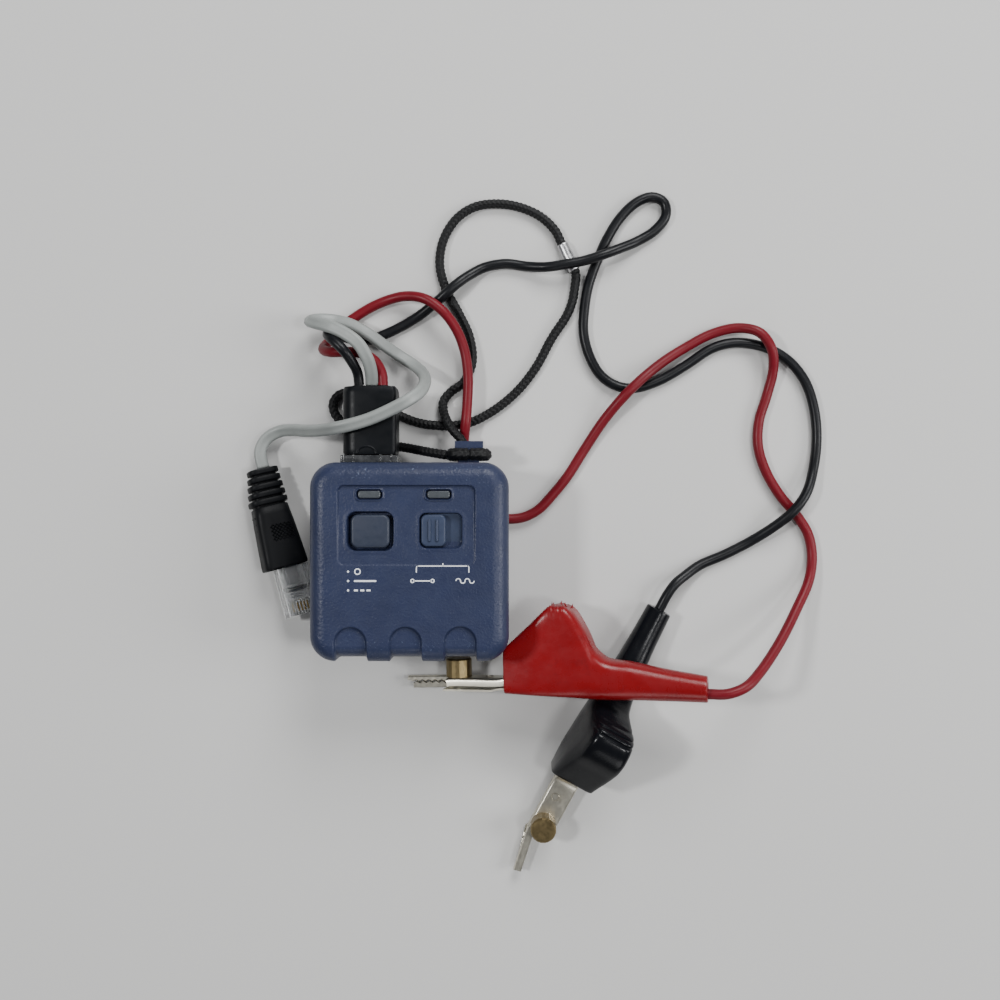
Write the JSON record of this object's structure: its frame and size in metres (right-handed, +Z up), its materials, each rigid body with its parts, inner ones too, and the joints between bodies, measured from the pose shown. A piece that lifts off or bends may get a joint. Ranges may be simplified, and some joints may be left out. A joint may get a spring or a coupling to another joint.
{
  "type": "tone generator",
  "caption": "Pocket cable tone generator: square case with button, slide switch and two light windows, captive clip leads, flat lead with modular plug and a neck lanyard.",
  "frame": {"origin": "centre of the case's resting face, on the battery door's outer side", "axes": "+Z up through the case's control face, +Y towards the end that the leads and the lanyard leave, +X to the right seen from above"},
  "size_m": [0.1804, 0.2119, 0.0346],
  "materials": {
    "case_blue": "fine matt texture",
    "button_grey": "satin",
    "window_grey": "smooth, smoky",
    "led_cream": "gloss",
    "black_plastic": "satin",
    "smoke_plastic": "smoky gloss",
    "screw_steel": "plated",
    "battery_wrap": "gloss wrap",
    "board_green": "solder mask",
    "winding_yellow": "tape",
    "capacitor_blue": "sleeve",
    "nickel_steel": "nickel plate",
    "aged_brass": "tarnished",
    "red_pvc": "satin",
    "black_pvc": "satin",
    "grey_pvc": "satin",
    "braid_black": "braided",
    "clear_plastic": "clear",
    "gilt_contact": "gold flash"
  },
  "bodies": {
    "case": {"front_cover": "case_blue", "rear_cover": "case_blue", "battery_door": "case_blue", "led_window_left": "window_grey", "led_window_right": "window_grey", "led_left": "led_cream", "led_right": "led_cream", "lead_block": "black_plastic", "battery_snap": "black_plastic", "tact_switch": "black_plastic", "controller_chip": "black_plastic", "lead_block_collar": "smoke_plastic", "battery_door_screw": "screw_steel", "case_screw_1": "screw_steel", "case_screw_2": "screw_steel", "case_screw_3": "screw_steel", "case_screw_4": "screw_steel", "battery": "battery_wrap", "circuit_board": "board_green", "output_transformer": "winding_yellow", "filter_capacitor": "capacitor_blue", "slide_switch": "nickel_steel", "lanyard_ferrule": "nickel_steel", "red_upper_jaw": "nickel_steel", "black_lower_jaw": "nickel_steel", "red_pivot_pin": "nickel_steel", "black_pivot_pin": "nickel_steel", "red_spring": "nickel_steel", "black_spring": "nickel_steel", "red_nail_bed": "nickel_steel", "red_nail_cup": "aged_brass", "red_wire_crimp": "aged_brass", "black_wire_crimp": "aged_brass", "red_boot": "red_pvc", "red_lead": "red_pvc", "black_boot": "black_pvc", "black_lead": "black_pvc", "plug_boot": "black_pvc", "grey_lead": "grey_pvc", "lanyard_a": "braid_black", "lanyard_b": "braid_black", "lanyard_hitch": "braid_black", "plug_body": "clear_plastic", "plug_contact_1": "gilt_contact", "plug_contact_2": "gilt_contact", "plug_contact_3": "gilt_contact", "plug_contact_4": "gilt_contact"},
    "power_button": {"power_button": "button_grey", "tact_plunger": "black_plastic"},
    "slide_knob": {"slide_knob": "case_blue", "slide_actuator": "black_plastic"},
    "plug_latch": {"plug_latch": "clear_plastic"},
    "red_jaw": {"red_lower_jaw": "nickel_steel"},
    "black_jaw": {"black_upper_jaw": "nickel_steel", "black_nail_cup": "aged_brass", "black_nail_bed": "nickel_steel"}
  },
  "joints": [
    {"name": "power_button_press", "type": "slide", "parent": "case", "child": "power_button", "axis": [0, 0, -1], "range_m": [0, 0.0008], "stiffness_N_per_m": 2000},
    {"name": "mode_slide", "type": "slide", "parent": "case", "child": "slide_knob", "axis": [1, 0, 0], "range_m": [0, 0.004]},
    {"name": "plug_latch_flex", "type": "hinge", "parent": "case", "child": "plug_latch", "pos_m": [-0.03708, -0.01742, 0.00301], "axis": [0.8638, 0.2193, -0.4535], "range_deg": [0, 5], "stiffness_Nm_per_rad": 0.05},
    {"name": "red_clip_pivot", "type": "hinge", "parent": "case", "child": "red_jaw", "pos_m": [0.03242, -0.03727, 0.01077], "axis": [-0.2418, -0.0059, 0.9703], "range_deg": [0, 16], "stiffness_Nm_per_rad": 0.4, "deforming": ["red_boot", "red_spring"]},
    {"name": "black_clip_pivot", "type": "hinge", "parent": "case", "child": "black_jaw", "pos_m": [0.0491, -0.06679, 0.00513], "axis": [-0.8797, 0.4756, 0], "range_deg": [0, 16], "stiffness_Nm_per_rad": 0.4, "deforming": ["black_boot", "black_spring"]}
  ]
}
